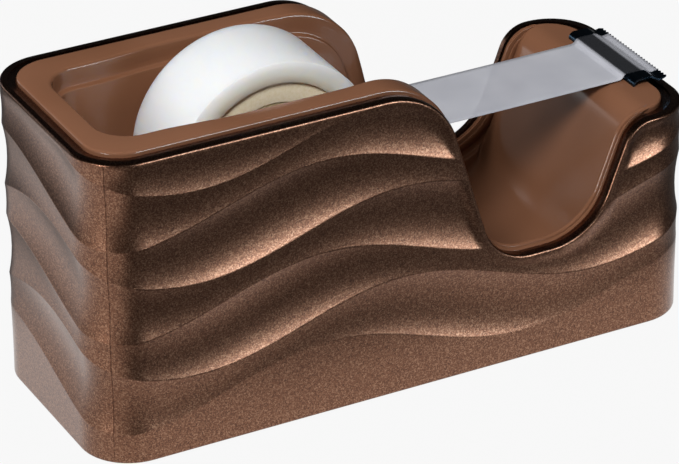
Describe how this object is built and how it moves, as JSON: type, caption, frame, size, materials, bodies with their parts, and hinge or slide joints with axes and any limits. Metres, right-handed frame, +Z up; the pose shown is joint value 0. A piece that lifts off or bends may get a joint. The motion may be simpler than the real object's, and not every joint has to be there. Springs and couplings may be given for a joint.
{
  "type": "desk tape dispenser",
  "caption": "Weighted desk tape dispenser: wavy moulded housing with a deep finger dip, glossy liner, toothed cutter and a lift-out roll of tape on an axle.",
  "frame": {"origin": "middle of the housing's footprint, on the surface that the pad stands on", "axes": "+X along the length from the roll to the cutter, +Y across, +Z up"},
  "size_m": [0.1331, 0.051, 0.0705],
  "materials": {
    "bronze_shell": "fine metallic bronze lacquer on moulded plastic",
    "brown_gloss": "glossy milk-chocolate brown moulding",
    "ballast_iron": "as cast",
    "dark_plastic": "lightly textured",
    "screw_steel": "zinc plated",
    "pad_rubber": "matt foam rubber",
    "blade_steel": "bright rolled sheet",
    "pin_plastic": "smooth turned",
    "hub_plastic": "moulded",
    "core_board": "pressed board and moulded plastic",
    "tape_wound": "wound matt film, translucent white",
    "tape_film": "thin translucent film"
  },
  "bodies": {
    "housing": {"outer_shell": "bronze_shell", "inner_liner": "brown_gloss", "ballast_block": "ballast_iron", "base_plate": "dark_plastic", "base_screws": "screw_steel", "base_pad": "pad_rubber", "cutter_blade": "blade_steel", "tape_lead": "tape_film"},
    "axle": {"axle_pin": "pin_plastic"},
    "roll": {"hub_wheel": "hub_plastic", "tape_core": "core_board", "tape_roll": "tape_wound"}
  },
  "joints": [
    {"name": "axle_lift", "type": "slide", "parent": "housing", "child": "axle", "axis": [0, 0, 1], "range_m": [0, 0.04]},
    {"name": "roll_spin", "type": "hinge", "parent": "axle", "child": "roll", "pos_m": [-0.0207, 0, 0.0488], "axis": [0, 1, 0], "continuous": true}
  ]
}
